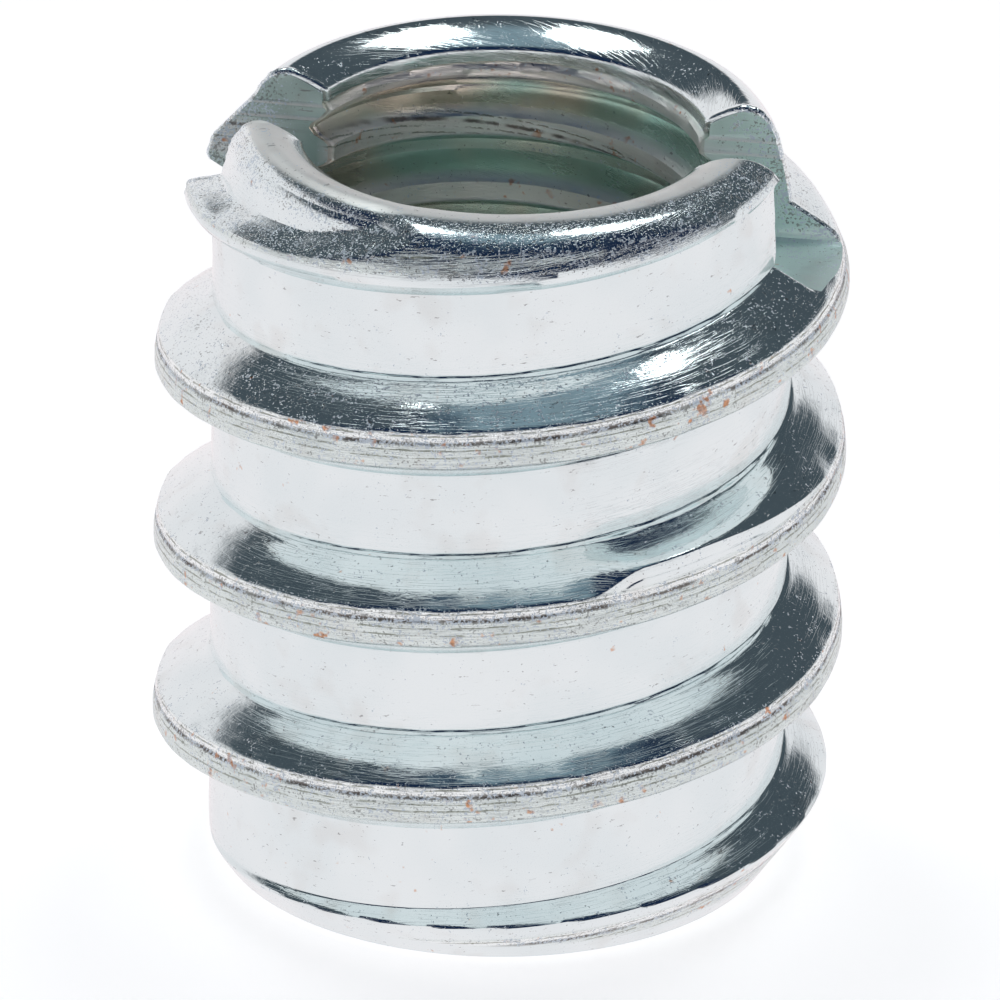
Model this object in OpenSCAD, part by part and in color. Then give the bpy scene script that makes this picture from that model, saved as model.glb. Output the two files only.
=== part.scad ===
// Slotted screw-in threaded insert: a metal sleeve with a coarse wood thread
// outside, a machine thread bore inside and a screwdriver slot across its
// rounded crown. Millimetres, +Z up through the bore, origin at the middle of
// the bottom face.

/* [Sleeve] */
// Height from the bottom face to the top of the crown
length = 13.75; // [10:0.25:30]
// Outside diameter over the wood thread
thread_d = 12.0; // [10:0.25:24]
// Diameter of the core between the turns of the wood thread
core_d = 10.0; // [8:0.25:20]
// Bore of the machine thread, at its drilled size
bore_d = 6.8; // [3:0.1:14]

/* [Wood thread] */
// Rise of the wood thread in one turn
pitch = 3.35; // [2:0.05:6]
// Width of one ridge at its foot
ridge_foot = 1.78; // [1:0.02:3]
// Width of one ridge at its crest, over its worn corners
ridge_crest = 0.66; // [0.4:0.02:1.4]
// Radius lost at the crest's worn upper corner
crest_worn = 0.16; // [0.02:0.01:0.2]
// Radius lost at the crest's sharper lower corner
crest_round = 0.07; // [0.02:0.01:0.2]
// Height at which the lowest turn's upper foot crosses the +X side
thread_start = 1.82; // [0:0.01:6]

/* [Crown] */
// Radius of the lip's rounding
lip_r = 0.6; // [0.3:0.05:1.2]
// Widening of the mouth beyond the bore, on the diameter
mouth_wide = 0.2; // [0.1:0.05:1]
// Height over which the core narrows to the lip
neck_h = 1.15; // [0.5:0.05:4]
// Radius of the round where the wood thread runs out into the crown
shoulder_r = 0.65; // [0.3:0.05:1.5]
// How far that round stands outside the lip's own
shoulder_out = 0.33; // [0.1:0.01:1]
// How far the lip stands above the shoulder
lip_proud = 0.05; // [0.03:0.01:0.3]
// Height over which the wood thread narrows, below the shoulder
nose_h = 1.80; // [1:0.05:5]
// Radius the wood thread loses over that height
nose_in = 0.62; // [0.2:0.02:1.5]

/* [Tail] */
// Height of the chamfer at the bottom end
tail_h = 1.70; // [0.5:0.05:4]
// Radius lost over that chamfer
tail_in = 1.18; // [0.4:0.02:1.4]

/* [Drive slot] */
// Width of the screwdriver slot
slot_w = 2.1; // [1:0.05:4]
// Depth of the slot below the top of the crown
slot_depth = 2.45; // [1:0.05:5]
// Turn of the slot about the axis, from +X
slot_turn = -9.3; // [-90:0.1:90]

/* [Hidden] */
$fn = 96;
steel = [0.80, 0.82, 0.84];

core_r = core_d / 2;
crest_r = thread_d / 2;
bore_r = bore_d / 2;
mouth_r = bore_r + mouth_wide / 2;

// The lip is a round of radius lip_r, standing on the mouth's edge.
lip_mid = mouth_r + lip_r;
lip_z = length - lip_r;

// The shoulder's round ends below the top of the lip.
shoulder_mid = lip_mid + shoulder_out;
shoulder_top = length - lip_proud;
shoulder_z = shoulder_top - shoulder_r;
nose_top_r = crest_r - nose_in;
nose_top_z = shoulder_z - 0.6 * shoulder_r;

// The line up from the nose cone runs on past where it would just touch that
// round, and ends a little inside it.
nose_gap_r = nose_top_r - shoulder_mid;
nose_gap_z = nose_top_z - shoulder_z;
nose_gap = norm([nose_gap_r, nose_gap_z]);
shoulder_lean = atan2(nose_gap_z, nose_gap_r) + acos(shoulder_r / nose_gap) + 12;
shoulder_in = 0.92 * shoulder_r;

// Cones carried past the crest, so that none of them lies on it.
past = 0.3;
nose_past_z = nose_top_z - nose_h * (nose_in + past) / nose_in;
tail_r = crest_r - tail_in;
tail_past_z = tail_h * (tail_in + past) / tail_in;
tail_core_z = tail_h * (core_r - tail_r) / tail_in;

// One ridge's outline, as radius and height below the upper foot. The upper
// corner is worn to a bevel half as steep as it is high.
flank = (ridge_foot - ridge_crest) / 2;
slope = flank / (crest_r - core_r);
root_r = lip_mid + 0.15 * lip_r;
sunk = slope * (core_r - root_r);
RIDGE = [
    [root_r, sunk],
    [crest_r - crest_worn, -flank + slope * crest_worn],
    [crest_r, -flank - 1.5 * crest_worn],
    [crest_r, -flank - ridge_crest + crest_round],
    [crest_r - crest_round, -flank - ridge_crest - slope * crest_round],
    [root_r, -ridge_foot - sunk],
];

// The thread runs from below the bottom face to above the crown.
steps = 60;
first = floor(steps * (-thread_start - sunk) / pitch) - 1;
last = ceil(steps * (length + ridge_foot + sunk - thread_start) / pitch) + 1;

// The thread's steps, each a copy of the ridge's outline turned and raised.
module wood_thread() {
    count = len(RIDGE);
    rings = last - first;
    points = [
        for (i = [first : last]) for (p = RIDGE)
            let (a = 360 * i / steps)
            [p[0] * cos(a), p[0] * sin(a), thread_start + pitch * i / steps + p[1]]
    ];
    sides = [
        for (i = [0 : rings - 1]) for (j = [0 : count - 1])
            let (k = (j + 1) % count, a = i * count, b = a + count)
            for (tri = [[a + j, b + j, b + k], [a + j, b + k, a + k]]) tri
    ];
    low = [[for (j = [0 : count - 1]) j]];
    high = [[for (j = [0 : count - 1]) (rings + 1) * count - 1 - j]];
    polyhedron(points = points, faces = concat(sides, low, high), convexity = 12);
}

// What the thread is turned down to: a tail chamfer, a nose cone and a round
// shoulder.
module thread_blank() {
    rotate_extrude()
        union() {
            polygon([
                [0, 0],
                [tail_r, 0],
                [crest_r + past, tail_past_z],
                [crest_r + past, nose_past_z],
                [nose_top_r, nose_top_z],
                [
                    shoulder_mid + shoulder_in * cos(shoulder_lean),
                    shoulder_z + shoulder_in * sin(shoulder_lean)
                ],
                [shoulder_mid, shoulder_top],
                [0, shoulder_top],
            ]);
            translate([shoulder_mid, shoulder_z])
                circle(r = shoulder_r);
        }
}

// The plain sleeve: core, narrowing neck, rounded lip and bore.
module sleeve() {
    rotate_extrude()
        union() {
            polygon([
                [bore_r, 0],
                [tail_r, 0],
                [core_r, tail_core_z],
                [core_r, lip_z - neck_h],
                [lip_mid + lip_r, lip_z],
                [mouth_r, lip_z],
                [bore_r, lip_z - (mouth_r - bore_r)],
            ]);
            translate([lip_mid, lip_z])
                circle(r = lip_r);
        }
}

// The screwdriver slot, right across the crown.
module drive_slot() {
    rotate([0, 0, slot_turn])
        translate([-thread_d, -slot_w / 2, length - slot_depth])
            cube([2 * thread_d, slot_w, 2 * slot_depth]);
}

module insert() {
    color(steel)
        difference() {
            union() {
                sleeve();
                intersection() {
                    wood_thread();
                    thread_blank();
                }
            }
            drive_slot();
        }
}

insert();
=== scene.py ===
"""The looks of a slotted screw-in threaded insert, in bright zinc-plated steel.

The sleeve is one closed skin worked out on a grid of columns round its axis and rows
along its section: outside thread, crown, bore thread and bottom face. Sizes inside the
shape classes are millimetres; meshes are written in metres.
"""

import logging
import math
from dataclasses import dataclass, field
from enum import Enum

import bmesh
import bpy
import numpy as np
from mathutils import Matrix, Vector


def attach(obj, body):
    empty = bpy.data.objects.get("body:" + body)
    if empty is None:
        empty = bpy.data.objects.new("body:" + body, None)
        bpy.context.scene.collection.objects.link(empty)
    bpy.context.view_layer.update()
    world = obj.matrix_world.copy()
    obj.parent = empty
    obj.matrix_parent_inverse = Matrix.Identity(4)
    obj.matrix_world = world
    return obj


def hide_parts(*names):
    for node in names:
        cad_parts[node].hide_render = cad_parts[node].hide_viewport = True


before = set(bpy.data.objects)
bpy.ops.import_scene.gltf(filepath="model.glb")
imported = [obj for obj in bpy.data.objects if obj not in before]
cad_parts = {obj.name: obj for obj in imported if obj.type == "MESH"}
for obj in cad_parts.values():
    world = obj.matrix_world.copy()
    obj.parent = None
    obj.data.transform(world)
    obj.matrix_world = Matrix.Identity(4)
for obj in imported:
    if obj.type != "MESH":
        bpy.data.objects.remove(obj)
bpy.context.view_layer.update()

LOG = logging.getLogger("threaded_insert")
MM = 0.001
TURN = 360.0


class Region(Enum):
    """Which surface of the sleeve a face belongs to, as its material index."""

    OUTSIDE = 0
    BORE = 1
    SLOT = 2


def smoothstep(x: np.ndarray, low: float, high: float) -> np.ndarray:
    """Eases from 0 at low to 1 at high as 3t^2 - 2t^3.

    Args:
        x: values to ease.
        low: where the result is 0.
        high: where the result is 1.

    Returns:
        The eased values, between 0 and 1.
    """
    t = np.clip((x - low) / (high - low), 0.0, 1.0)
    return t * t * (3.0 - 2.0 * t)


def soft_min(a: np.ndarray, b: np.ndarray, width: float) -> np.ndarray:
    """The lower of a and b, with the corner where they cross rounded over width.

    Args:
        a: first values.
        b: second values.
        width: size of the rounding, in the values' unit.

    Returns:
        (a + b - sqrt((a - b)^2 + width^2)) / 2, which far from the corner is the lower value.
    """
    return 0.5 * (a + b - np.sqrt((a - b) ** 2 + width**2))


def fair(x: np.ndarray, xs: tuple[float, ...], ys: tuple[float, ...]) -> np.ndarray:
    """A smooth curve through points that never overshoots them.

    Between two points it is a cubic whose end slopes are the harmonic mean of the
    slopes on each side, or 0 where those slopes change sign.

    Args:
        x: where to read the curve; outside the points the end values hold.
        xs: places of the points, rising.
        ys: values at the points.

    Returns:
        The curve's values.
    """
    px, py = np.array(xs), np.array(ys)
    step, rise = np.diff(px), np.diff(py)
    grade = rise / step
    inner = np.where(grade[1:] * grade[:-1] > 0, 2 * grade[1:] * grade[:-1] / (grade[1:] + grade[:-1] + 1e-30), 0.0)
    slope = np.concatenate([[grade[0] * 0.5], inner, [grade[-1] * 0.5]])
    x = np.clip(x, px[0], px[-1])
    i = np.clip(np.searchsorted(px, x, side="right") - 1, 0, len(step) - 1)
    h = step[i]
    t = (x - px[i]) / h
    a, b = py[i], py[i + 1]
    return (
        a * (1 + 2 * t) * (1 - t) ** 2
        + b * t * t * (3 - 2 * t)
        + h * t * (1 - t) * (slope[i] * (1 - t) - slope[i + 1] * t)
    )


def bspline(points: np.ndarray, count: int) -> np.ndarray:
    """A clamped uniform cubic B-spline through the first and last control points.

    Args:
        points: control points, shape (..., n, 2), with n at least 4.
        count: how many samples to give.

    Returns:
        Samples of shape (..., count, 2): each is the sum of four neighbouring
        control points times the cubic basis.
    """
    first, last = points[..., :1, :], points[..., -1:, :]
    ctrl = np.concatenate([first, first, points, last, last], axis=-2)
    spans = ctrl.shape[-2] - 3
    t = np.linspace(0.0, spans, count)
    i = np.minimum(t.astype(int), spans - 1)
    u = (t - i)[:, None]
    basis = [
        (1 - u) ** 3 / 6,
        (3 * u**3 - 6 * u**2 + 4) / 6,
        (-3 * u**3 + 3 * u**2 + 3 * u + 1) / 6,
        u**3 / 6,
    ]
    return sum(b * ctrl[..., i + k, :] for k, b in enumerate(basis))


def wander(angle: np.ndarray, seed: int, waves: tuple[float, ...]) -> np.ndarray:
    """A smooth unevenness along the thread: a sum of sines with seeded phases.

    Args:
        angle: place along the thread, in degrees, not wrapped.
        seed: picks the phases.
        waves: how many waves each sine makes in one turn.

    Returns:
        Values of about -1 to 1.
    """
    rng = np.random.default_rng(seed)
    phases = rng.uniform(0, 2 * math.pi, len(waves))
    rad = np.radians(angle)
    total = sum(np.sin(w * rad + p) for w, p in zip(waves, phases))
    return total / math.sqrt(len(waves)) / 1.4


@dataclass(frozen=True)
class WoodThread:
    """The coarse right-hand thread outside, in millimetres.

    fall is how far a point lies below the upper foot of the ridge above it.
    """

    pitch: float = 3.35
    start: float = 1.90
    core_r: float = 4.99
    ridge_fall: tuple[float, ...] = (
        0.0, 0.006, 0.02, 0.042, 0.068, 0.105, 0.22, 0.33, 0.45, 0.56, 0.592,
        0.606, 0.62, 0.66, 0.72, 0.80, 0.90, 1.0, 1.14, 1.22, 1.28, 1.36, 1.60, 1.80, 1.90,
    )
    ridge_high: tuple[float, ...] = (
        0.0, 0.007, 0.027, 0.062, 0.101, 0.156, 0.352, 0.536, 0.708, 0.862, 0.907,
        0.919, 0.925, 0.938, 0.954, 0.972, 0.986, 1.0, 1.0, 0.985, 0.93, 0.80, 0.36, 0.04, 0.0,
    )
    undercut: float = 0.062
    thinned: float = 0.04
    step_high: float = 0.36
    step_along: tuple[float, float, float, float] = (645.0, 655.0, 664.0, 708.0)
    seam_fall: float = 0.775
    seam_deep: float = 0.022
    crest_wander: float = 0.022
    core_z: tuple[float, ...] = (0.0, 0.26, 0.5, 11.6, 12.0, 12.35, 12.65, 12.95, 13.2, 13.4, 13.6)
    core_in: tuple[float, ...] = (0.17, 0.01, 0.0, 0.0, 0.02, 0.07, 0.13, 0.205, 0.265, 0.345, 0.50)
    nose_z: tuple[float, ...] = (10.6, 11.0, 11.35, 11.7, 12.2, 12.7, 13.05, 13.28, 13.46, 13.61)
    nose_r: tuple[float, ...] = (6.3, 5.99, 5.83, 5.66, 5.50, 5.38, 5.25, 5.12, 5.00, 4.85)
    tail_r: float = 4.82
    tail_slope: float = 0.694
    end_az: tuple[float, ...] = (0.0, 95.0, 120.0, 158.0, 176.0, 182.0, 201.0, 209.0, 226.0, 238.0, 250.0, 262.0, 275.0, 360.0)
    end_z: tuple[float, ...] = (15.0, 15.0, 13.3, 12.96, 12.70, 12.64, 12.74, 12.85, 13.02, 13.24, 13.50, 13.84, 15.0, 15.0)
    end_r: tuple[float, ...] = (4.9, 4.9, 4.94, 4.94, 4.86, 4.85, 4.86, 4.87, 4.87, 4.87, 4.87, 4.87, 4.87, 4.9)
    end_slope: tuple[float, ...] = (1.0, 1.0, 1.15, 1.15, 0.35, 0.22, 0.25, 0.29, 0.38, 0.50, 0.66, 0.85, 1.0, 1.0)

    def row_falls(self) -> np.ndarray:
        """Falls of the rows in one pitch, dense where the ridge bends."""
        return np.concatenate(
            [
                np.linspace(0.0, 0.10, 8, endpoint=False),
                np.linspace(0.10, 0.58, 14, endpoint=False),
                np.array([0.592, 0.600, 0.607, 0.62, 0.64]),
                np.linspace(0.665, 0.85, 9, endpoint=False),
                np.linspace(0.85, 1.14, 6, endpoint=False),
                np.linspace(1.14, 1.40, 8, endpoint=False),
                np.linspace(1.40, 1.90, 5, endpoint=False),
                np.linspace(1.90, self.pitch - 0.09, 6, endpoint=False),
                np.linspace(self.pitch - 0.09, self.pitch, 5, endpoint=False),
            ]
        )

    def core(self, az: np.ndarray, z: np.ndarray) -> np.ndarray:
        """Radius between the turns: a cylinder that narrows at both ends, less so at the front right of the crown."""
        round_ = az % TURN
        full = 1 - 0.78 * smoothstep(round_, 240, 285) * (1 - smoothstep(round_, 343, 360)) * smoothstep(z, 8.0, 9.0)
        return self.core_r - full * fair(z, self.core_z, self.core_in)

    def last_turn(self, az: np.ndarray, z: np.ndarray) -> np.ndarray:
        """Radius of the last turn's upper face, a lower and flatter flank than the others have.

        It is read in straight lines between places round the sleeve: the height and
        the radius where the face leaves the neck, and its fall per radius.
        """
        round_ = az % TURN
        high, start, slope = (np.interp(round_, self.end_az, t) for t in (self.end_z, self.end_r, self.end_slope))
        return start + (high - z) / slope

    def blank(self, z: np.ndarray) -> np.ndarray:
        """Radius that the ridge can't pass: a tail cone below and a nose above."""
        tail = self.tail_r + self.tail_slope * z
        return np.minimum(np.minimum(tail, fair(z, self.nose_z, self.nose_r)), 6.3)

    def lift(self, fall: np.ndarray, along: np.ndarray) -> np.ndarray:
        """How far a step pressed up on one turn raises the crest and squeezes the flank above it."""
        rise, top, drop, end = self.step_along
        step = smoothstep(along, rise, top) * (1 - smoothstep(along, drop, end))
        return self.step_high * step * smoothstep(fall, -0.04, 0.24) * (1 - smoothstep(fall, 0.50, 1.25))

    def row_height(self, az: np.ndarray, heights: np.ndarray) -> np.ndarray:
        """Height of each row, so that the rows ride up over the step.

        The fall that reads as the row's own is found by halving an interval.

        Args:
            az: azimuth in degrees, not wrapped.
            heights: row heights at azimuth 0.

        Returns:
            Heights of az's shape.
        """
        turns = np.ceil((heights - self.start) / self.pitch - 1e-9)
        own = self.start + turns * self.pitch - heights + 0 * az
        along = az + TURN * turns
        low, high = own - 0.4, own + 0.0
        for _ in range(22):
            middle = (low + high) / 2
            over = middle + self.lift(middle, along) > own
            low, high = np.where(over, low, middle), np.where(over, middle, high)
        return heights + self.pitch * az / TURN + own - (low + high) / 2

    def radius(self, az: np.ndarray, z: np.ndarray) -> np.ndarray:
        """Outside radius at an azimuth and a height.

        The ridge's height over the core is read at its fall, after the crest's own
        wander and the pressed-up step on one turn have shifted that fall. The sum is
        then cut by the blank with a rounded corner.

        Args:
            az: azimuth in degrees, not wrapped.
            z: height.

        Returns:
            The radius.
        """
        foot = self.start + self.pitch * az / TURN
        turns = np.ceil((z - foot) / self.pitch - 1e-9)
        fall = foot + turns * self.pitch - z
        along = az + TURN * turns
        crest = np.exp(-(((fall - 0.85) / 0.38) ** 4))
        shift = self.crest_wander * wander(along, 3, (7, 13, 29, 47)) * crest
        left = smoothstep(az % TURN, 150, 180) * (1 - smoothstep(az % TURN, 290, 345))
        thin = self.thinned * smoothstep(fall, 0.9, 1.3) * smoothstep(z, 11.3, 12.2) * left
        read = fall + shift + self.lift(fall, along) + thin
        ridge = sum(fair(read + d, self.ridge_fall, self.ridge_high) for d in (-0.006, 0.0, 0.006)) / 3
        seam = self.seam_deep * np.exp(-(((read - self.seam_fall) / 0.022) ** 2)) * (0.6 + 0.4 * wander(along, 8, (17, 31, 53)))
        ridge = ridge - seam * (ridge > 0.5)
        ridge = ridge * (1 + 0.012 * wander(along, 5, (3, 8, 19)))
        ridge = np.minimum(ridge, 0.998)
        core = self.core(az, z)
        turned = soft_min(core + ridge, self.blank(z), 0.05)
        ended = soft_min(turned, self.last_turn(az, z), 0.03)
        above = self.pitch - fall
        groove = self.undercut * np.where(above < fall, np.exp(-((above / 0.042) ** 2)), np.exp(-((fall / 0.018) ** 2)))
        groove = groove * (0.8 + 0.35 * wander(along, 11, (9, 23, 41)))
        groove = groove * smoothstep(z, 1.2, 2.0) * (1 - smoothstep(z, 11.6, 12.2))
        return -soft_min(-core, -ended, 0.02) + 0.001 - groove * (turned < core + 0.3)


@dataclass(frozen=True)
class BoreThread:
    """The right-hand machine thread in the bore, in millimetres."""

    pitch: float = 1.25
    start: float = 12.9475
    crest_r: float = 3.40
    deep: float = 0.58
    mouth_r: float = 3.50
    mouth_z: float = 13.16
    flare_r: float = 3.42
    lip_z: float = 13.02

    def row_height(self, az: np.ndarray, heights: np.ndarray) -> np.ndarray:
        """Height of each row: it rises one pitch in a turn."""
        return heights + self.pitch * az / TURN

    def row_offsets(self) -> np.ndarray:
        """Heights of the rows in one pitch, from the crest's middle."""
        return np.array([-0.15, -0.05, 0.05, 0.15, 0.22, 0.32, 0.45, 0.53, 0.625, 0.72, 0.80, 0.93, 1.03])

    def radius(self, az: np.ndarray, z: np.ndarray) -> np.ndarray:
        """Bore radius: a flat crest and a V groove that starts shallow at the mouth.

        Args:
            az: azimuth in degrees, not wrapped.
            z: height.

        Returns:
            The radius.
        """
        middle = self.start + self.pitch * az / TURN
        off = np.abs((z - middle + self.pitch / 2) % self.pitch - self.pitch / 2)
        groove = np.interp(off, (0.14, 0.19, 0.50, 0.56), (0.0, 0.03, 0.97, 1.0))
        deep = self.deep * (0.12 + 0.88 * smoothstep(-z, -13.0, -12.45))
        mouth = self.mouth_r - (self.mouth_r - self.flare_r) * smoothstep(-z, -13.14, -13.06)
        flare = self.crest_r + (self.flare_r - self.crest_r) * smoothstep(z, 12.6, self.lip_z)
        plain = np.maximum(self.crest_r, np.where(z > self.lip_z, mouth, flare))
        return plain + deep * groove * smoothstep(-z, -13.06, -12.9)


@dataclass(frozen=True)
class Crown:
    """The rounded rim between the outside and the bore, in millimetres."""

    foot_z: float = 13.5
    narrow: tuple[tuple[float, float], ...] = (
        (4.53, 13.56), (4.46, 13.64), (4.35, 13.70), (4.20, 13.745), (4.02, 13.69),
        (3.82, 13.60), (3.64, 13.49), (3.535, 13.42), (3.505, 13.36), (3.50, 13.25),
    )
    wide: tuple[tuple[float, float], ...] = (
        (4.91, 13.555), (4.83, 13.62), (4.70, 13.69), (4.48, 13.738), (4.20, 13.745),
        (3.98, 13.70), (3.75, 13.585), (3.56, 13.45), (3.505, 13.37), (3.50, 13.25),
    )
    last: tuple[float, float] = (3.50, 13.16)
    rows: int = 34

    def curve(self, start_r: np.ndarray) -> np.ndarray:
        """Radius and height along the rim, from the outside to the bore's mouth.

        Args:
            start_r: radius where the outside ends, one per column.

        Returns:
            Shape (columns, rows, 2): a B-spline whose control points are mixed
            between the narrow and the wide rim by how far out the column starts.
        """
        mix = np.clip((start_r - 4.58) / (4.97 - 4.58), 0, 1)[:, None, None]
        ctrl = (1 - mix) * np.array(self.narrow) + mix * np.array(self.wide)
        first = np.stack([start_r, np.full_like(start_r, self.foot_z)], -1)[:, None, :]
        last = np.broadcast_to(np.array(self.last), first.shape)
        return bspline(np.concatenate([first, ctrl, last], axis=1), self.rows)


@dataclass(frozen=True)
class DriveSlot:
    """The screwdriver slot across the crown, in millimetres."""

    turn: float = -9.3
    near: float = -0.955
    far: float = 1.145
    floor_z: float = 11.3
    top_z: float = 15.0
    edge_r: float = 0.07
    reach: float = 8.0
    bead_z: float = 12.976
    bead_gap: float = 0.13

    def section(self) -> np.ndarray:
        """Outline of the cut, as offset across the slot and height, counterclockwise."""
        n, f, z = self.near + 0.004, self.far - 0.004, self.floor_z
        near_side = [(n, self.top_z), (n, z + 0.14), (n + 0.03, z + 0.05), (n + 0.10, z)]
        far_side = [(f - 0.10, z), (f - 0.03, z + 0.05), (f, z + 0.14)]
        beads = ((0.0, 12.79), (0.03, 12.83), (0.03, 12.87), (0.006, 12.91), (0.006, 13.06), (0.03, 13.09), (0.03, 13.12), (0.004, 13.16))
        far_side += [(f - out, high) for out, high in beads] + [(f - 0.004, self.top_z)]
        return np.array(near_side + far_side)


@dataclass
class Sleeve:
    """The whole insert: outside thread, crown, bore thread, bottom face and slot."""

    wood: WoodThread = field(default_factory=WoodThread)
    bore: BoreThread = field(default_factory=BoreThread)
    crown: Crown = field(default_factory=Crown)
    slot: DriveSlot = field(default_factory=DriveSlot)
    seam_at: float = 90.0
    warp_r: float = 5.0
    warp_reach: float = 20.0

    def columns(self) -> np.ndarray:
        """Column places in degrees from the slot's direction, dense at the slot's edges."""
        near = math.degrees(math.asin(-self.slot.near / self.warp_r))
        far = math.degrees(math.asin(self.slot.far / self.warp_r))
        half = []
        for low, high in ((far, near), (near, far)):
            before = np.linspace(-90, -low - 2.0, 40, endpoint=False)
            edge_a = np.linspace(-low - 2.0, -low, 9)
            inner = np.linspace(-low + 1.2, high - 1.2, 15)
            edge_b = np.linspace(high, high + 2.0, 9)
            after = np.linspace(high + 2.0, 90, 41)[1:-1]
            half.append(np.concatenate([before, edge_a, inner, edge_b, after]))
        return np.concatenate([half[0] + 180, half[1] + 360, [self.seam_at + TURN]])

    def azimuth(self, column: np.ndarray, radius: np.ndarray) -> np.ndarray:
        """Azimuth of a column at a radius.

        Near the slot a column keeps its distance from the slot's middle line, so it
        runs straight along the slot's edge. Further round it eases to a plain angle.

        Args:
            column: column places from columns().
            radius: radius at each point.

        Returns:
            Azimuth in degrees, not wrapped.
        """
        end = np.round(column / 180) * 180
        off = column - end
        reach = np.minimum(np.abs(off), self.warp_reach)
        straight = np.degrees(np.arcsin(np.clip(self.warp_r * np.sin(np.radians(reach)) / radius, -1, 1)))
        ease = 1 - smoothstep(np.abs(off), self.warp_reach, 85.0)
        return end + off + np.sign(off) * (straight - reach) * ease + self.slot.turn

    def lateral(self, az: np.ndarray, radius: np.ndarray) -> np.ndarray:
        """Distance outside the slot's nearer wall plane, negative inside the slot."""
        across = radius * np.sin(np.radians(az - self.slot.turn))
        return np.where(across > 0, across - self.slot.far, self.slot.near - across)

    def rounding(self, az: np.ndarray, radius: np.ndarray, z: np.ndarray) -> np.ndarray:
        """How far the skin sinks at the slot's edges: a quarter round, with a raised burr beside it.

        Args:
            az: azimuth in degrees.
            radius: radius at each point.
            z: height.

        Returns:
            The depth, negative where the burr stands up.
        """
        d = self.lateral(az, radius)
        r = self.slot.edge_r
        inside = np.clip(r - d, 0, r)
        drop = r - np.sqrt(np.maximum(r * r - inside * inside, 0))
        bead = 0.55 + 0.45 * np.sin(41 * z + 3 * np.sin(17 * radius)) * np.sin(23 * radius + 5 * z)
        burr = 0.022 * np.exp(-(((d - 0.085) / 0.035) ** 2)) * bead
        return (drop - burr) * smoothstep(z, self.slot.floor_z + 0.02, self.slot.floor_z + 0.12)

    def solve(
        self, column: np.ndarray, heights: np.ndarray, pitch: float, low: float, high: float, surface: object
    ) -> tuple[np.ndarray, np.ndarray, np.ndarray]:
        """Places the helical rows of one threaded surface.

        Each row rises with the azimuth, and the azimuth depends a little on the
        radius, so the three are settled in a few passes.

        Args:
            column: column places, shape (columns,).
            heights: row heights at azimuth 0, shape (rows,).
            pitch: rise in one turn.
            low: height below which rows are gathered.
            high: height above which rows are gathered.
            surface: the thread, with radius(az, z).

        Returns:
            Azimuth, height and radius, each of shape (rows, columns).
        """
        col = np.broadcast_to(column, (len(heights), len(column)))
        radius = np.full(col.shape, 5.0 if pitch > 2 else 3.6)
        for _ in range(5):
            az = self.azimuth(col, radius)
            z = np.clip(surface.row_height(az, heights[:, None]), low, high)
            radius = surface.radius(az, z)
        az = self.azimuth(col, radius)
        return az, z, surface.radius(az, z)

    def skin(self) -> tuple[np.ndarray, np.ndarray, np.ndarray]:
        """The closed skin before the slot is cut.

        Returns:
            Azimuth, radius and height of shape (rows, columns), where rows run up the
            outside, over the crown, down the bore and out along the bottom, and the
            region of each row band.
        """
        cols = self.columns()
        wood, bore = self.wood, self.bore
        falls = wood.row_falls()
        rise = np.sort((wood.start + wood.pitch * np.arange(-1, 6)[:, None] - falls[None, :]).ravel())
        az_o, z_o, r_o = self.solve(cols, rise, wood.pitch, 0.0, self.crown.foot_z, wood)
        offs = bore.row_offsets()
        drop = np.sort((bore.start + bore.pitch * np.arange(-13, 3)[:, None] + offs[None, :]).ravel())[::-1]
        az_i, z_i, r_i = self.solve(cols, drop, bore.pitch, 0.3, bore.mouth_z, bore)
        rim = self.crown.curve(r_o[-1])
        r_c, z_c = rim[..., 0].T[1:-1], rim[..., 1].T[1:-1]
        az_c = self.azimuth(np.broadcast_to(cols, r_c.shape), r_c)
        d_c = self.rounding(az_c, r_c, z_c)
        along_r, along_z = np.gradient(r_c, axis=0), np.gradient(z_c, axis=0)
        size = np.hypot(along_r, along_z)
        r_o = r_o - self.rounding(az_o, r_o, z_o)
        r_i = r_i + self.rounding(az_i, r_i, z_i)
        r_c, z_c = r_c - d_c * along_z / size, z_c + d_c * along_r / size
        r_b = np.stack([np.full(len(cols), 3.62), np.full(len(cols), 4.2)])
        z_b = np.zeros_like(r_b)
        az_b = self.azimuth(np.broadcast_to(cols, r_b.shape), r_b)
        az = np.concatenate([az_o, az_c, az_i, az_b])
        radius = np.concatenate([r_o, r_c, r_i, r_b])
        z = np.concatenate([z_o, z_c, z_i, z_b])
        band = np.concatenate([
            np.full(len(az_o) + len(az_c) - 3, Region.OUTSIDE.value),
            np.full(len(az_i) + 2, Region.BORE.value),
            np.full(len(az) - len(az_o) - len(az_c) - len(az_i) + 1, Region.OUTSIDE.value),
        ])
        return az, radius, z, band

    def build(self) -> bpy.types.Object:
        """Makes the finished piece: the skin with the slot cut out of it."""
        az, radius, z, band = self.skin()
        a = np.radians(az)
        points = np.stack([radius * np.cos(a), radius * np.sin(a), z], -1)
        body = closed_grid("insert_skin", points, band)
        cutter = self.cutter()
        return cut(body, cutter, "insert_sleeve")

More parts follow.
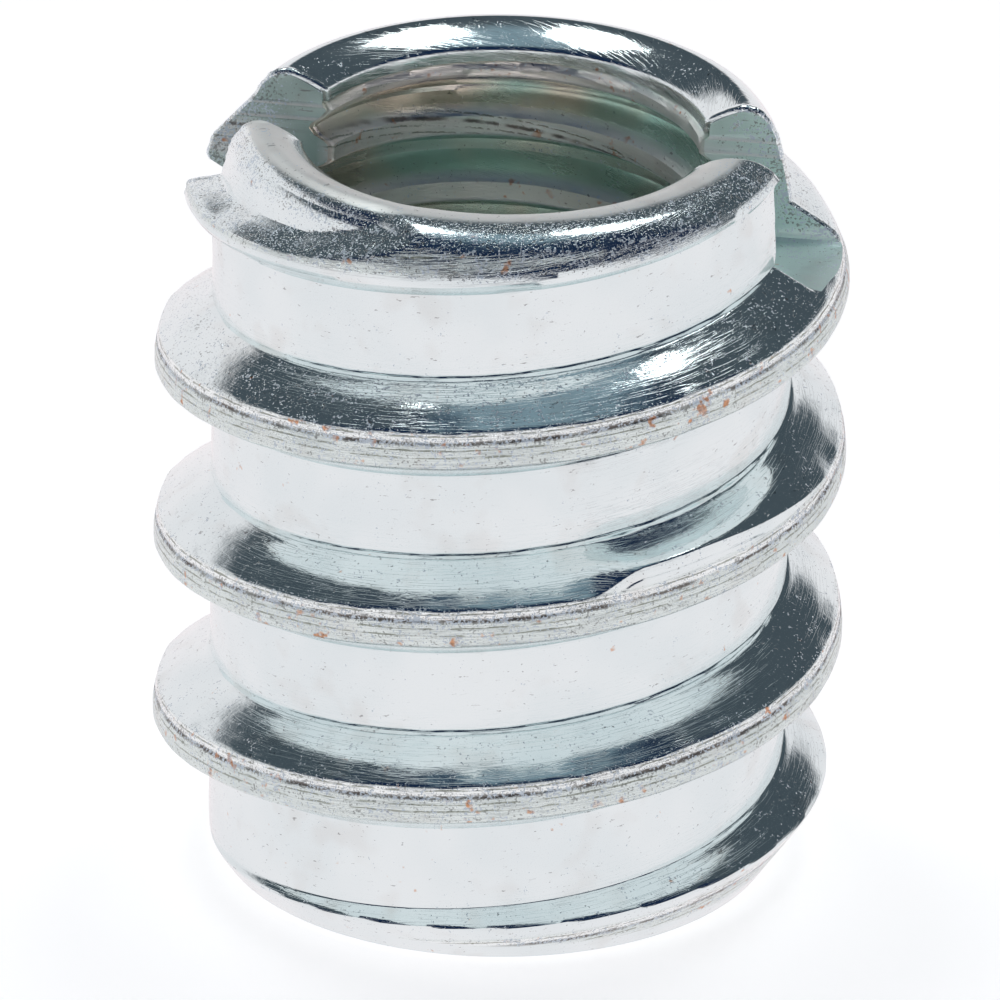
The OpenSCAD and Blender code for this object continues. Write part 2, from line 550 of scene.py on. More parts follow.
    def mark(self, obj: bpy.types.Object) -> None:
        """Writes what the finishes read: a UV map that runs along the thread, and smooth shading.

        u is the arc round the sleeve at the core and v the height less the rise of the
        thread, both in millimetres; a face astride the back line is unwrapped.

        Args:
            obj: the finished sleeve, in metres.
        """
        mesh = obj.data
        co = np.zeros(len(mesh.vertices) * 3)
        mesh.vertices.foreach_get("co", co)
        co = co.reshape(-1, 3) / MM
        az = np.degrees(np.arctan2(co[:, 1], co[:, 0]))
        az = (az - self.seam_at) % TURN
        corner = np.zeros(len(mesh.loops), np.int32)
        mesh.loops.foreach_get("vertex_index", corner)
        turn = az[corner].reshape(-1, 3)
        turn = turn + TURN * (turn < turn.max(1, keepdims=True) - TURN / 2)
        turn = turn.ravel()
        u = np.radians(turn) * self.wood.core_r
        v = co[corner, 2] - self.wood.pitch * turn / TURN
        self.mark_wear_and_light(mesh, co)
        layer = mesh.uv_layers.new(name="along")
        layer.data.foreach_set("uv", np.stack([u, v], -1).astype(np.float32).ravel())
        mesh.polygons.foreach_set("use_smooth", np.ones(len(mesh.polygons), bool))
        mesh.set_sharp_from_angle(angle=math.radians(34))
        mesh.update()

    def mark_wear_and_light(self, mesh: bpy.types.Mesh, co: np.ndarray) -> None:
        """Writes three point attributes from 0 to 1, worked out from radius, height and azimuth.

        crest is the band along the thread's crest, in the bore the thread's lands, plus bead spots by
        the slot's far wall, where the bore and slot finishes paint a near-white highlight; lip the
        dull top of the crown; and speckle how thickly rough specks cover the plating, specks that the
        material paints pale as glints: most on the crest, the crown's shoulder and the slot's edges,
        less on the top flank, little elsewhere.

        Args:
            mesh: the finished mesh.
            co: its points in millimetres.
        """
        radius = np.hypot(co[:, 0], co[:, 1])
        az = np.degrees(np.arctan2(co[:, 1], co[:, 0])) % TURN
        z = co[:, 2]
        way = np.zeros(len(co) * 3)
        mesh.vertices.foreach_get("normal", way)
        upward = way[2::3]
        foot = self.wood.start + self.wood.pitch * az / TURN
        turns = np.ceil((z - foot) / self.wood.pitch - 1e-9)
        fall = foot + turns * self.wood.pitch - z
        high = radius - self.wood.core_r
        ridge = smoothstep(high, 0.02, 0.10)
        crest = smoothstep(fall, 0.53, 0.60) * (1 - smoothstep(fall, 1.26, 1.36)) * ridge
        crown = smoothstep(z, 12.85, 13.05) * (radius > 4.2)
        front = smoothstep(az, 150, 185) * (1 - smoothstep(az, 345, 360))
        lip = smoothstep(z, 13.50, 13.62) * (1 - smoothstep(radius, 4.36, 4.50)) * front
        flank = ridge * (1 - smoothstep(fall, 0.52, 0.58))
        seam = np.exp(-(((fall - self.wood.seam_fall) / 0.05) ** 2)) * ridge
        speckle = 0.05 + 0.16 * flank * (1 + smoothstep(z, 8.6, 9.6)) + 0.50 * crest + 0.4 * seam
        shoulder = crown * smoothstep(radius, 4.32, 4.46) * (0.45 + 0.55 * smoothstep(upward, 0.2, 0.4)) * front
        last = smoothstep(z, 12.2, 12.7) * (radius > 4.72) * (1 - smoothstep(az, 262, 275)) * smoothstep(upward, 0.45, 0.65)
        speckle = np.maximum(speckle, 0.58 * np.maximum(shoulder, last))
        across = co[:, 1] * math.cos(math.radians(self.slot.turn)) - co[:, 0] * math.sin(math.radians(self.slot.turn))
        gap = np.where(across > 0, across - self.slot.far, self.slot.near - across)
        rim = np.exp(-((gap / 0.12) ** 2)) * smoothstep(z, 11.2, 11.5)
        speckle = np.clip(np.maximum(np.maximum(speckle, 0.8 * rim), 0.30 * lip), 0, 1)
        inside = radius < 4.1
        crest = crest * (1 - smoothstep(upward, 0.55, 0.75))
        land = inside * (1 - smoothstep(radius, 3.45, 3.55)) * smoothstep(-z, -13.6, -13.3)
        beside = np.abs(np.abs(z - self.slot.bead_z) - self.slot.bead_gap)
        bead = (np.abs(across - self.slot.far) < 0.045) & (beside < 0.025) & (radius < 5.3)
        # in the bore the crest mask is the thread's lands, and bead spots by the slot's far wall join it; the bore and
        # slot finishes paint both near white as a highlight
        crest = np.where(inside, land, crest) * ~bead + bead
        for name, values in (("crest", crest), ("lip", lip), ("speckle", np.where(inside, 0.2, speckle))):
            layer = mesh.attributes.new(name, "FLOAT", "POINT")
            layer.data.foreach_set("value", values.astype(np.float32))

    def cutter(self) -> bpy.types.Object:
        """The slot's outline carried straight across the crown."""
        sec = self.slot.section()
        x = np.linspace(-self.slot.reach, self.slot.reach, 3)
        t = math.radians(self.slot.turn)
        along, across = np.array([math.cos(t), math.sin(t), 0]), np.array([-math.sin(t), math.cos(t), 0])
        rows = x[:, None, None] * along + sec[None, :, :1] * across + sec[None, :, 1:] * np.array([0, 0, 1])
        n, m = len(x), len(sec)
        i, j = np.meshgrid(np.arange(n - 1), np.arange(m), indexing="ij")
        k = (j + 1) % m
        quads = np.stack([i * m + j, i * m + k, (i + 1) * m + k, (i + 1) * m + j], -1).reshape(-1, 4)
        faces = [list(map(int, q)) for q in quads]
        faces += [list(range(m))[::-1], list(range((n - 1) * m, n * m))]
        mesh = bpy.data.meshes.new("slot_cutter")
        mesh.from_pydata(rows.reshape(-1, 3).tolist(), [], faces)
        obj = bpy.data.objects.new("slot_cutter", mesh)
        for _ in Region:
            mesh.materials.append(None)
        mesh.polygons.foreach_set("material_index", np.full(len(mesh.polygons), Region.SLOT.value, dtype=np.int32))
        bpy.context.scene.collection.objects.link(obj)
        return obj


def closed_grid(name: str, points: np.ndarray, band: np.ndarray) -> bpy.types.Object:
    """Makes a closed skin from a grid whose rows and columns both come back to the start.

    Rows close by joining the last to the first. Columns close because the last one
    lies on the first, one pitch further along, and equal points are then merged.

    Args:
        name: name of the new object.
        points: shape (rows, columns, 3), millimetres.
        band: material index of the faces between each row and the next.

    Returns:
        The object, in millimetres.
    """
    n, m = points.shape[:2]
    i, j = np.meshgrid(np.arange(n), np.arange(m - 1), indexing="ij")
    up = (i + 1) % n
    quads = np.stack([i * m + j, i * m + j + 1, up * m + j + 1, up * m + j], -1).reshape(-1, 4)
    mesh = bpy.data.meshes.new(name)
    mesh.vertices.add(n * m)
    mesh.vertices.foreach_set("co", points.astype(np.float32).ravel())
    mesh.loops.add(quads.size)
    mesh.loops.foreach_set("vertex_index", quads.astype(np.int32).ravel())
    mesh.polygons.add(len(quads))
    mesh.polygons.foreach_set("loop_start", np.arange(0, quads.size, 4, dtype=np.int32))
    mesh.polygons.foreach_set("material_index", band[i.ravel()].astype(np.int32))
    for _ in Region:
        mesh.materials.append(None)
    mesh.update(calc_edges=True)
    weld = bmesh.new()
    weld.from_mesh(mesh)
    bmesh.ops.remove_doubles(weld, verts=weld.verts, dist=2e-4)
    bmesh.ops.triangulate(weld, faces=weld.faces)
    open_edges = sum(not e.is_manifold for e in weld.edges)
    weld.to_mesh(mesh)
    weld.free()
    LOG.info("%s: %d faces, %d edges left open", name, len(mesh.polygons), open_edges)
    obj = bpy.data.objects.new(name, mesh)
    bpy.context.scene.collection.objects.link(obj)
    return obj


def cut(body: bpy.types.Object, cutter: bpy.types.Object, name: str) -> bpy.types.Object:
    """Takes the cutter out of the body and writes the result in metres.

    Args:
        body: closed skin in millimetres.
        cutter: closed skin in millimetres.
        name: name of the finished object.

    Returns:
        The finished object, at the origin.
    """
    mod = body.modifiers.new("slot", "BOOLEAN")
    mod.operation = "DIFFERENCE"
    mod.solver = "MANIFOLD"
    mod.object = cutter
    bpy.context.view_layer.update()
    depsgraph = bpy.context.evaluated_depsgraph_get()
    mesh = bpy.data.meshes.new_from_object(body.evaluated_get(depsgraph))
    mesh.name = name
    mesh.transform(Matrix.Scale(MM, 4))
    split = bmesh.new()
    split.from_mesh(mesh)
    bmesh.ops.triangulate(split, faces=[f for f in split.faces if len(f.verts) > 3])
    split.to_mesh(mesh)
    split.free()
    bpy.data.objects.remove(body)
    bpy.data.objects.remove(cutter)
    obj = bpy.data.objects.new(name, mesh)
    bpy.context.scene.collection.objects.link(obj)
    return obj


class Wiring:
    """Short ways to lay nodes and join them in one node tree."""

    def __init__(self, tree: bpy.types.NodeTree) -> None:
        """Takes the tree that the nodes go into."""
        self.tree = tree

    def node(self, kind: str, **inputs: object) -> bpy.types.Node:
        """Adds a node and fills its inputs.

        Args:
            kind: node type without its ShaderNode start.
            **inputs: input name with _ for a space, and a value or an output to join.
                A name that is no input is set as the node's own property.

        Returns:
            The node.
        """
        node = self.tree.nodes.new("ShaderNode" + kind)
        for name in [n for n in inputs if n.replace("_", " ") not in node.inputs and hasattr(node, n)]:
            setattr(node, name, inputs.pop(name))
        for name, value in inputs.items():
            self.feed(node.inputs[name.replace("_", " ")], value)
        return node

    def feed(self, socket: bpy.types.NodeSocket, value: object) -> None:
        """Joins an output to the socket, or sets its value."""
        if isinstance(value, bpy.types.NodeSocket):
            self.tree.links.new(value, socket)
        else:
            socket.default_value = value

    def math(self, operation: str, a: object, b: object = 0.0, clamp: bool = False) -> bpy.types.NodeSocket:
        """Adds a Math node.

        Args:
            operation: Blender's name of the sum.
            a: first value or output.
            b: second value or output.
            clamp: keeps the result between 0 and 1.

        Returns:
            Its output.
        """
        node = self.node("Math", operation=operation, use_clamp=clamp)
        self.feed(node.inputs[0], a)
        self.feed(node.inputs[1], b)
        return node.outputs[0]

    def times(self, a: object, b: object) -> bpy.types.NodeSocket:
        """The product of a and b."""
        return self.math("MULTIPLY", a, b)

    def plus(self, a: object, b: object) -> bpy.types.NodeSocket:
        """The sum of a and b."""
        return self.math("ADD", a, b)

    def minus(self, a: object, b: object) -> bpy.types.NodeSocket:
        """The difference a less b."""
        return self.math("SUBTRACT", a, b)

    def noise(self, place: object, scale: float, detail: float, rough: float = 0.5) -> bpy.types.NodeSocket:
        """Adds a noise, read at place."""
        return self.node("TexNoise", Vector=place, Scale=scale, Detail=detail, Roughness=rough).outputs["Fac"]

    def remap(self, value: object, low: float, high: float, start: float = 0.0, end: float = 1.0) -> bpy.types.NodeSocket:
        """Adds a Map Range node that eases value from low..high to start..end."""
        node = self.node("MapRange", interpolation_type="SMOOTHSTEP", From_Min=low, From_Max=high, To_Min=start, To_Max=end)
        self.feed(node.inputs["Value"], value)
        return node.outputs["Result"]

    def blend(self, factor: object, a: object, b: object, kind: str = "MIX") -> bpy.types.NodeSocket:
        """Adds a colour mix.

        Args:
            factor: 0 keeps a, 1 gives b.
            a: first colour.
            b: second colour.
            kind: Blender's name of the mix.

        Returns:
            The mixed colour.
        """
        node = self.node("Mix", data_type="RGBA", blend_type=kind)
        self.feed(node.inputs[0], factor)
        self.feed(node.inputs[6], a)
        self.feed(node.inputs[7], b)
        return node.outputs[2]


def effect(
    name: str, inputs: dict[str, tuple[str, object]], outputs: dict[str, str]
) -> tuple[bpy.types.NodeTree, Wiring, dict[str, bpy.types.NodeSocket], bpy.types.Node]:
    """Starts a node group with named sockets.

    Args:
        name: name of the group.
        inputs: socket kind and starting value by name.
        outputs: socket kind by name.

    Returns:
        The group, its wiring, its input sockets by name, and the output node.
    """
    tree = bpy.data.node_groups.new(name, "ShaderNodeTree")
    for key, (kind, value) in inputs.items():
        socket = tree.interface.new_socket(key, in_out="INPUT", socket_type="NodeSocket" + kind)
        if value is not None:
            socket.default_value = value
    for key, kind in outputs.items():
        tree.interface.new_socket(key, in_out="OUTPUT", socket_type="NodeSocket" + kind)
    wires = Wiring(tree)
    given = tree.nodes.new("NodeGroupInput")
    result = tree.nodes.new("NodeGroupOutput")
    return tree, wires, {key: given.outputs[key] for key in inputs}, result


def grain_effect() -> bpy.types.NodeTree:
    """Plating grain: a fine uneven height, and masks of specks, which the material paints pale as glints, and dark
    pits.

    Specks and pits are where a fine noise, pushed up by a patchy broad one, passes a
    threshold that falls as Density rises.
    """
    tree, w, given, result = effect(
        "plating_grain",
        {"Vector": ("Vector", None), "Density": ("Float", 0.3)},
        {"Height": "Float", "GlintSpeck": "Float", "Pit": "Float"},
    )
    fine = w.noise(given["Vector"], 14.0, 1.0, 0.6)
    patchy = w.noise(given["Vector"], 3.4, 1.0, 0.7)
    push = w.times(w.minus(patchy, 0.5), 0.55)
    masks = []
    dots = w.noise(given["Vector"], 21.0, 1.0, 0.6)
    for spots, start in ((w.plus(dots, push), 0.79), (w.minus(w.minus(1.0, dots), push), 0.83)):
        level = w.minus(start, w.times(given["Density"], 0.34))
        masks.append(w.math("MULTIPLY", w.minus(spots, level), 12.0, clamp=True))
    height = w.plus(w.times(fine, w.plus(0.35, given["Density"])), w.times(patchy, 1.4))
    height = w.plus(height, w.times(masks[0], 1.6))
    w.feed(result.inputs["Height"], w.minus(height, w.times(masks[1], 1.6)))
    w.feed(result.inputs["GlintSpeck"], masks[0])
    w.feed(result.inputs["Pit"], masks[1])
    return tree


def crest_effect() -> bpy.types.NodeTree:
    """Lines pressed into the thread's crest, read from the distance below its upper foot.

    The fall is (first foot - height less rise) modulo the pitch. The seam lies at a
    set fall, wanders a little and comes and goes; finer lines lie under it.
    """
    wood = WoodThread()
    tree, w, given, result = effect(
        "crest_lines",
        {"Along": ("Vector", None), "Crest": ("Float", 0.0)},
        {"Seam": "Float", "Line": "Float", "Bevel": "Float"},
    )
    v = w.node("SeparateXYZ", Vector=given["Along"]).outputs[1]
    fall = w.math("FLOORED_MODULO", w.minus(wood.start + wood.pitch / 4, v), wood.pitch)
    place = w.node("Mapping", Vector=given["Along"], Scale=(2.2, 5.0, 1.0)).outputs[0]
    sway = w.noise(place, 1.0, 3.0, 0.7)
    moved = w.plus(fall, w.times(w.minus(sway, 0.5), 0.09))
    slow = w.node("Mapping", Vector=given["Along"], Scale=(1.3, 0.6, 1.0)).outputs[0]
    strong = w.remap(w.noise(slow, 1.0, 1.0, 0.7), 0.33, 0.56)
    seam = w.remap(w.math("ABSOLUTE", w.minus(moved, wood.seam_fall)), 0.012, 0.052, 1.0, 0.0)
    w.feed(result.inputs["Seam"], w.times(w.times(seam, strong), given["Crest"]))
    lines = [w.remap(w.math("ABSOLUTE", w.minus(moved, at)), 0.006, 0.022, 1.0, 0.0) for at in (0.655, 0.90, 1.03)]
    line = w.math("MAXIMUM", lines[0], w.math("MAXIMUM", lines[1], lines[2]))
    w.feed(result.inputs["Line"], w.times(w.times(line, w.remap(sway, 0.40, 0.55)), given["Crest"]))
    # band of the crest's upper bevel: the material makes it less dull and colours it near white, a painted highlight
    bevel = w.remap(w.math("ABSOLUTE", w.minus(fall, 0.68)), 0.05, 0.09, 1.0, 0.0)
    w.feed(result.inputs["Bevel"], bevel)
    return tree


def stain_effect() -> bpy.types.NodeTree:
    """Marks on the plating: short dark flecks, faint broad smudges, and rare orange rust specks."""
    tree, w, given, result = effect(
        "plating_stains",
        {"Vector": ("Vector", None), "Along": ("Vector", None), "Worn": ("Float", 0.0)},
        {"Fleck": "Float", "Smudge": "Float", "Rust": "Float"},
    )
    drawn = w.node("Mapping", Vector=given["Along"], Scale=(5.0, 13.0, 1.0)).outputs[0]
    short = w.noise(drawn, 1.0, 3.0, 0.7)
    area = w.noise(given["Vector"], 1.2, 2.0)
    w.feed(result.inputs["Fleck"], w.times(w.remap(short, 0.635, 0.685), w.remap(area, 0.44, 0.58)))
    w.feed(result.inputs["Smudge"], w.remap(area, 0.54, 0.74))
    spot = w.noise(given["Vector"], 3.4, 2.0, 0.75)
    level = w.minus(0.705, w.times(given["Worn"], 0.10))
    rust = w.times(w.math("MULTIPLY", w.minus(spot, level), 12.0, clamp=True), w.remap(area, 0.42, 0.54, 1.0, 0.0))
    w.feed(result.inputs["Rust"], rust)
    return tree


def scratch_effect() -> bpy.types.NodeTree:
    """Fine lines along the thread: noise squeezed hard across and drawn out along, in two slants."""
    tree, w, given, result = effect(
        "fine_scratches",
        {"Vector": ("Vector", None), "Amount": ("Float", 0.5)},
        {"Height": "Float", "Line": "Float"},
    )
    lines = []
    for slant, along, across in ((0.0, 0.7, 26.0), (-0.9, 1.6, 13.0)):
        turned = w.node("Mapping", Vector=given["Vector"], Rotation=(0, 0, slant), Scale=(along, across, 1.0)).outputs[0]
        noise = w.noise(turned, 1.0, 1.0, 0.7)
        lines.append(w.remap(w.math("ABSOLUTE", w.minus(noise, 0.5)), 0.0, 0.035, 1.0, 0.0))
    line = w.math("MAXIMUM", lines[0], w.times(lines[1], 0.6))
    line = w.times(line, given["Amount"])
    w.feed(result.inputs["Height"], w.times(line, -1.0))
    w.feed(result.inputs["Line"], line)
    return tree


@dataclass(frozen=True)
class ZincFinish:
    """Bright zinc plating as it sits on one region of the sleeve."""

    name: str
    bright: tuple[float, float, float]
    # colour the slow tint moves towards, and the painted side light too
    tint_and_side_light: tuple[float, float, float]
    # colour of the crest and lip: wear on the outside; near white in the bore and the slot, a painted highlight on the
    # lands and bead spots
    worn_and_lit: tuple[float, float, float]
    rough: float
    rough_spread: float
    bump: float
    scratches: float
    # shift towards the second colour per millimetre of x: painted side light, the colour changing from one side to the
    # other as the light on it does
    side_light_shift: float = 0.0
    metal: float = 1.0

    def material(
        self, grain: bpy.types.NodeTree, scratch: bpy.types.NodeTree, stain: bpy.types.NodeTree, crests: bpy.types.NodeTree
    ) -> bpy.types.Material:
        """Makes the material: plating colour with a slow tint and painted side light, rough specks
        painted pale as glints, fine lines and stains.

        The crest takes the third colour and a duller face, and so does the lip: wear on the
        outside, near white in the bore and the slot, where it is a painted highlight. The crest's
        upper bevel is painted near white as a highlight as well.

        Args:
            grain: the plating grain group.
            scratch: the fine scratch group.
            stain: the group of flecks, smudges and rust.
            crests: the group of lines along the crest.

        Returns:
            The material.
        """
        mat = bpy.data.materials.new(self.name)
        mat.use_nodes = True
        mat.node_tree.nodes.clear()
        w = Wiring(mat.node_tree)
        place = w.node("TexCoord").outputs["Object"]
        mm = w.node("VectorMath", operation="SCALE", Vector=place, Scale=1000.0).outputs[0]
        uv = w.node("Attribute", attribute_name="along").outputs["Vector"]
        crest, lip, density = (w.node("Attribute", attribute_name=n).outputs["Fac"] for n in ("crest", "lip", "speckle"))
        grains = w.node("Group", node_tree=grain, Vector=mm, Density=density)
        marks = w.node("Group", node_tree=crests, Along=uv, Crest=crest)
        amount = w.plus(self.scratches, w.times(crest, 1.2))
        lines = w.node("Group", node_tree=scratch, Vector=uv, Amount=amount)
        stains = w.node("Group", node_tree=stain, Vector=mm, Along=uv, Worn=crest)
        slow = w.noise(mm, 0.45, 2.0, 0.6)
        glint_speck, pit = grains.outputs["GlintSpeck"], grains.outputs["Pit"]
        seam = marks.outputs["Seam"]
        plain = w.minus(1.0, w.times(marks.outputs["Bevel"], 0.85))
        dull = w.math("MAXIMUM", w.times(w.times(crest, plain), 0.75), lip)
        # painted side light: the colour shifts along x, standing in for light falling more on one side
        side = w.times(w.node("SeparateXYZ", Vector=mm).outputs[0], self.side_light_shift)
        colour = w.blend(w.remap(w.plus(slow, side), 0.35, 0.65), (*self.bright, 1), (*self.tint_and_side_light, 1))
        # third colour on crest and lip: wear outside; in the bore and slot it is near white, a painted highlight on the
        # lands and bead spots
        colour = w.blend(w.times(dull, 0.85), colour, (*self.worn_and_lit, 1))
        # painted highlight: the crest's upper bevel coloured near white
        colour = w.blend(w.times(w.times(marks.outputs["Bevel"], crest), 0.8), colour, (0.93, 1.0, 0.99, 1))
        colour = w.blend(lip, colour, (0.95, 0.98, 0.95, 1))
        colour = w.blend(w.times(pit, 0.6), colour, (0.16, 0.17, 0.17, 1))
        colour = w.blend(w.times(marks.outputs["Line"], 0.8), colour, (0.22, 0.25, 0.20, 1))
        colour = w.blend(w.times(seam, 0.9), colour, (0.12, 0.11, 0.10, 1))
        # painted glints: rough specks in the plating coloured pale blue-white, standing in for the sparkle they throw
        colour = w.blend(glint_speck, colour, (0.74, 0.86, 0.94, 1))
        colour = w.blend(w.times(stains.outputs["Smudge"], 0.16), colour, (0.55, 0.50, 0.45, 1))
        colour = w.blend(w.times(stains.outputs["Fleck"], 0.65), colour, (0.20, 0.20, 0.20, 1))
        colour = w.blend(w.times(stains.outputs["Rust"], 0.85), colour, (0.62, 0.27, 0.10, 1))
        rough = w.remap(slow, 0.3, 0.7, self.rough, self.rough + self.rough_spread)
        rough = w.plus(rough, w.times(w.plus(dull, w.times(lip, 0.8)), 0.22))
        rough = w.plus(rough, w.times(lines.outputs["Line"], 0.10))
        rough = w.plus(rough, w.times(pit, 0.12))
        height = w.plus(grains.outputs["Height"], w.times(lines.outputs["Height"], 1.1))
        # less metal at the specks, so their pale colour shows as a painted glint
        metal = w.minus(self.metal, w.times(glint_speck, 0.6))
        bump = w.node("Bump", Strength=1.0, Distance=self.bump * MM, Height=height).outputs[0]
        shader = w.node("BsdfPrincipled", Base_Color=colour, Metallic=metal, Roughness=rough, Normal=bump)
        w.node("OutputMaterial", Surface=shader.outputs[0])
        return mat


OUTSIDE_ZINC = ZincFinish("zinc_outside", (0.815, 0.90, 0.905), (0.77, 0.865, 0.875), (0.70, 0.80, 0.77), 0.07, 0.06, 0.0015, 0.35)
# bore: the near-white third colour paints a highlight on the lands; the last number shifts the colour along x as
# painted side light
BORE_ZINC = ZincFinish("zinc_bore", (0.84, 0.79, 0.70), (0.60, 0.80, 0.74), (1.0, 1.0, 0.98), 0.20, 0.10, 0.0020, 0.3, 0.06)
# slot: dark first colour towards the left end and pale second colour towards the right, painted shade and light; the
# white third colour paints highlights on the bead spots
SLOT_ZINC = ZincFinish("zinc_slot", (0.48, 0.62, 0.59), (0.80, 1.0, 0.95), (1.0, 1.0, 1.0), 0.36, 0.12, 0.0020, 0.3, 0.05, 0.62)


@dataclass(frozen=True)
class Softbox:
    """A rectangular studio lamp that faces the object. Sizes in metres."""

    name: str
    place: tuple[float, float, float]
    size: tuple[float, float]
    radiance: float
    aim: tuple[float, float, float] = (0.0, 0.0, 0.007)

    def build(self) -> bpy.types.Object:
        """Makes the lamp; its power is radiance x area x pi."""
        lamp = bpy.data.lights.new(self.name, "AREA")
        lamp.shape = "RECTANGLE"
        lamp.size, lamp.size_y = self.size
        lamp.energy = self.radiance * self.size[0] * self.size[1] * math.pi
        obj = bpy.data.objects.new(self.name, lamp)
        obj.location = self.place
        back = (Vector(self.place) - Vector(self.aim)).normalized()
        up = back.cross(Vector((1, 0, 0))).normalized()
        obj.rotation_euler = Matrix((up.cross(back), up, back)).transposed().to_euler()
        bpy.context.scene.collection.objects.link(obj)
        obj.visible_camera = False
        return obj


@dataclass
class Studio:
    """Floor, soft lamps and the room's own light."""

    floor_radius: float = 0.6
    floor_shade: float = 0.88
    floor_lift: float = 0.63
    floor_mirrored: tuple[float, float, float] = (0.95, 0.885, 0.905)
    lamps: tuple[Softbox, ...] = (
        Softbox("softbox_left", (-0.132, 0.165, 0.5), (0.13, 0.20), 4.6),
        Softbox("softbox_right", (0.132, 0.165, 0.5), (0.13, 0.20), 4.6),
    )

    def floor(self) -> bpy.types.Object:
        """Makes the floor, a flat disc: rings of points at even angles."""
        ring = np.array([0.0, 0.02, 0.06, 0.2, self.floor_radius])
        turn = np.linspace(0, 2 * math.pi, 64, endpoint=False)
        rr, tt = np.meshgrid(ring[1:], turn, indexing="ij")
        points = np.concatenate([[[0, 0, 0]], np.stack([rr * np.cos(tt), rr * np.sin(tt), 0 * rr], -1).reshape(-1, 3)])
        j = np.arange(64)
        k = (j + 1) % 64
        faces = [[0, int(1 + a), int(1 + b)] for a, b in zip(j, k)]
        for i in range(len(ring) - 2):
            a, b = 1 + 64 * i, 1 + 64 * (i + 1)
            faces += [[int(a + p), int(b + p), int(b + q), int(a + q)] for p, q in zip(j, k)]
        mesh = bpy.data.meshes.new("floor")
        mesh.from_pydata(points.tolist(), [], faces)
        obj = bpy.data.objects.new("floor", mesh)
        bpy.context.scene.collection.objects.link(obj)
        obj.data.materials.append(self.floor_paint())
        return obj

    def floor_paint(self) -> bpy.types.Material:
        """White paint that keeps shadows; seen straight or mirrored in metal it is lifted to white."""
        mat = bpy.data.materials.new("floor_white")
        mat.use_nodes = True
        mat.node_tree.nodes.clear()
        w = Wiring(mat.node_tree)
        path = w.node("LightPath").outputs
        shade = (self.floor_shade,) * 3 + (1,)
        diffuse = w.node("BsdfDiffuse", Color=shade).outputs[0]
        lift = w.node("Emission", Color=(1, 1, 1, 1), Strength=w.times(path["Is Camera Ray"], self.floor_lift)).outputs[0]
        plain = w.node("AddShader")
        w.feed(plain.inputs[0], diffuse)
        w.feed(plain.inputs[1], lift)
        mirrored = w.node("Emission", Color=(*self.floor_mirrored, 1), Strength=1.0).outputs[0]
        add = w.node("MixShader", Fac=path["Is Glossy Ray"])
        w.feed(add.inputs[1], plain.outputs[0])
        w.feed(add.inputs[2], mirrored)
        clear = w.node("BsdfTransparent").outputs[0]
        side = w.node("MixShader", Fac=w.node("NewGeometry").outputs["Backfacing"])
        w.feed(side.inputs[1], add.outputs[0])
        w.feed(side.inputs[2], clear)
        w.node("OutputMaterial", Surface=side.outputs[0])
        return mat

    def room(self) -> None:
        """Sets the room's light by direction: pale behind, dark above the front, brighter at the left."""
        world = bpy.data.worlds.new("studio_room")
        bpy.context.scene.world = world
        world.use_nodes = True
        world.cycles.sampling_method = "NONE"  # the room's light is even, so rays find it without being sent to it
        world.node_tree.nodes.clear()
        w = Wiring(world.node_tree)
        way = w.node("SeparateXYZ", Vector=w.node("TexCoord").outputs["Generated"])
        x, y, z = way.outputs
        behind = w.remap(y, -0.12, 0.12)
        along = w.plus(w.times(x, 0.5), 0.5)
        top_back = self.ramp(w, along, ((0.12, 0.49), (0.30, 0.50), (0.42, 0.36), (0.60, 0.34), (0.70, 0.34), (0.86, 0.31)))
        top = w.blend(behind, (0.42, 0.42, 0.42, 1), top_back)
        under = w.remap(w.minus(z, top), -0.05, 0.05, 1.0, 0.0)
        above = w.blend(behind, (0.010, 0.022, 0.055, 1), (0.064, 0.082, 0.098, 1))
        middle = self.patch(w, way, (0.0, 0.02, 1.0), 0.93, 0.985)
        above = w.blend(middle, above, (0.21, 0.29, 0.34, 1))
        low = self.ramp(w, z, ((0.0, (0.93, 0.87, 0.89)), (0.30, (0.90, 0.85, 0.87)), (0.76, (0.80, 0.77, 0.79))))
        cool = w.blend(under, above, low)
        path = w.node("LightPath").outputs
        seen = w.blend(path["Is Camera Ray"], cool, (1, 1, 1, 1))
        lit = w.node("Background", Color=seen, Strength=1.0).outputs[0]
        w.node("OutputWorld", Surface=lit)

    @staticmethod
    def ramp(w: Wiring, value: object, stops: tuple[tuple[float, object], ...]) -> bpy.types.NodeSocket:
        """Adds a ramp with eased steps.

        Args:
            w: the tree's wiring.
            value: what the ramp reads.
            stops: places from 0 to 1, each with a grey or a colour.

        Returns:
            The ramp's colour.
        """
        node = w.node("ValToRGB")
        w.feed(node.inputs[0], value)
        ramp = node.color_ramp
        ramp.interpolation = "EASE"
        while len(ramp.elements) < len(stops):
            ramp.elements.new(0.5)
        for element, (place, shade) in zip(ramp.elements, stops):
            element.position = place
            element.color = (*shade, 1) if isinstance(shade, tuple) else (shade, shade, shade, 1)
        return node.outputs[0]

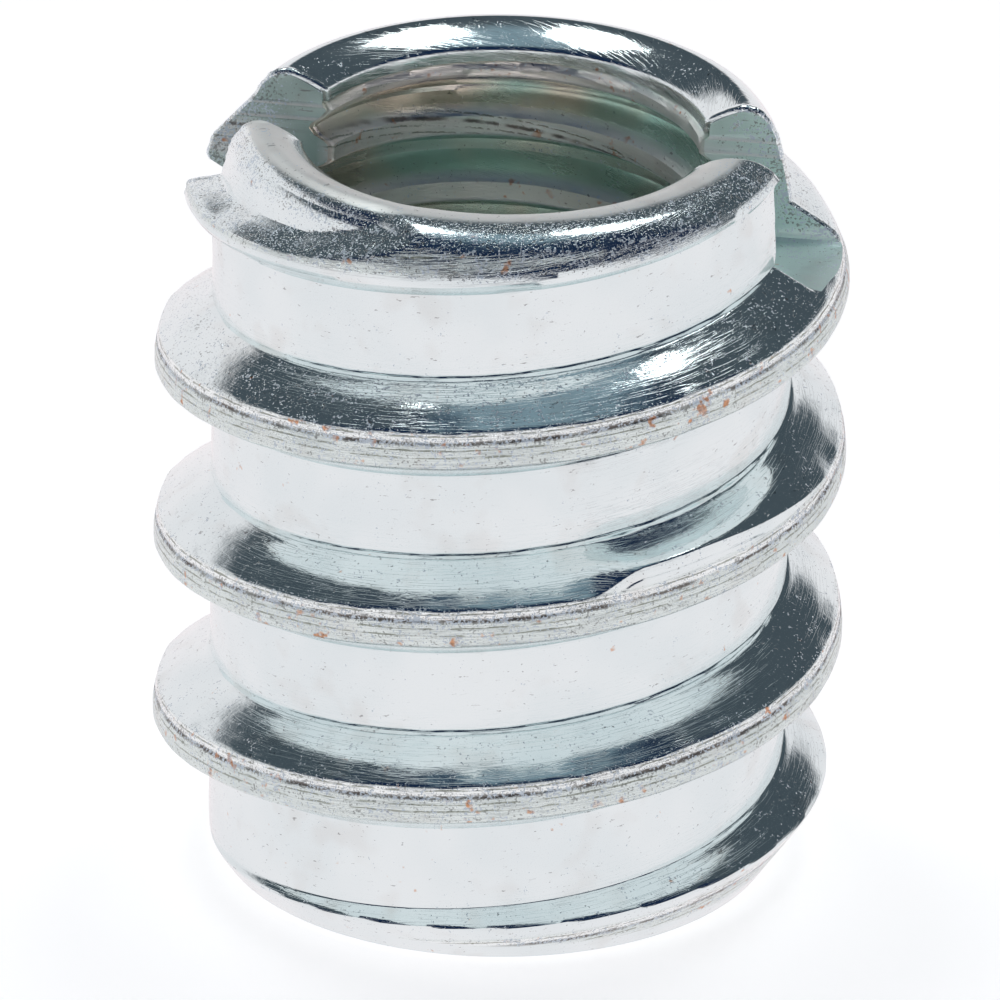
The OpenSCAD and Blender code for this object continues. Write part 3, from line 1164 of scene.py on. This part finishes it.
    @staticmethod
    def patch(w: Wiring, way: bpy.types.Node, axis: tuple[float, float, float], outer: float, inner: float) -> bpy.types.NodeSocket:
        """1 within a cone round axis and 0 outside it; outer and inner are cosines."""
        unit = Vector(axis).normalized()
        dot = w.node("VectorMath", operation="DOT_PRODUCT")
        w.feed(dot.inputs[0], way.inputs[0].links[0].from_socket)
        w.feed(dot.inputs[1], tuple(unit))
        return w.remap(dot.outputs["Value"], outer, inner)

    def build(self) -> None:
        """Makes the floor, the lamps and the room's light."""
        self.floor()
        for lamp in self.lamps:
            lamp.build()
        self.room()
        view = bpy.context.scene.view_settings
        view.view_transform = "Standard"


@dataclass(frozen=True)
class Viewpoint:
    """The camera: a long lens looking down on the front, in millimetres and degrees."""

    tilt: float = 25.49
    roll: float = 0.79
    distance: float = 341.0
    target_z: float = 6.422
    aside: float = 0.008
    lens: float = 708.9

    def build(self) -> bpy.types.Object:
        """Makes the camera and takes it as the scene's own."""
        e, p = math.radians(self.tilt), math.radians(self.roll)
        ahead = Vector((0, math.cos(e), -math.sin(e)))
        up = Vector((0, math.sin(e), math.cos(e)))
        right = Vector((1, 0, 0))
        x_axis = math.cos(p) * right + math.sin(p) * up
        y_axis = -math.sin(p) * right + math.cos(p) * up
        place = (Vector((0, 0, self.target_z)) - ahead * self.distance + x_axis * self.aside) * MM
        camera = bpy.data.cameras.new("camera")
        camera.lens, camera.sensor_width = self.lens, 36.0
        camera.clip_start, camera.clip_end = 0.05, 3.0
        obj = bpy.data.objects.new("camera", camera)
        matrix = Matrix((x_axis, y_axis, -ahead)).transposed().to_4x4()
        matrix.translation = place
        obj.matrix_world = matrix
        bpy.context.scene.collection.objects.link(obj)
        bpy.context.scene.camera = obj
        return obj


def main() -> None:
    """Builds the insert and the studio round it."""
    logging.basicConfig(level=logging.INFO, format="%(message)s")
    sleeve = Sleeve()
    obj = sleeve.build()
    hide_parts("insert")
    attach(obj, "root")
    sleeve.mark(obj)
    effects = (grain_effect(), scratch_effect(), stain_effect(), crest_effect())
    for region, finish in ((Region.OUTSIDE, OUTSIDE_ZINC), (Region.BORE, BORE_ZINC), (Region.SLOT, SLOT_ZINC)):
        obj.data.materials[region.value] = finish.material(*effects)
    LOG.info("insert_sleeve: %d triangles", len(obj.data.polygons))
    Studio().build()
    Viewpoint().build()


if __name__ == "__main__":
    main()
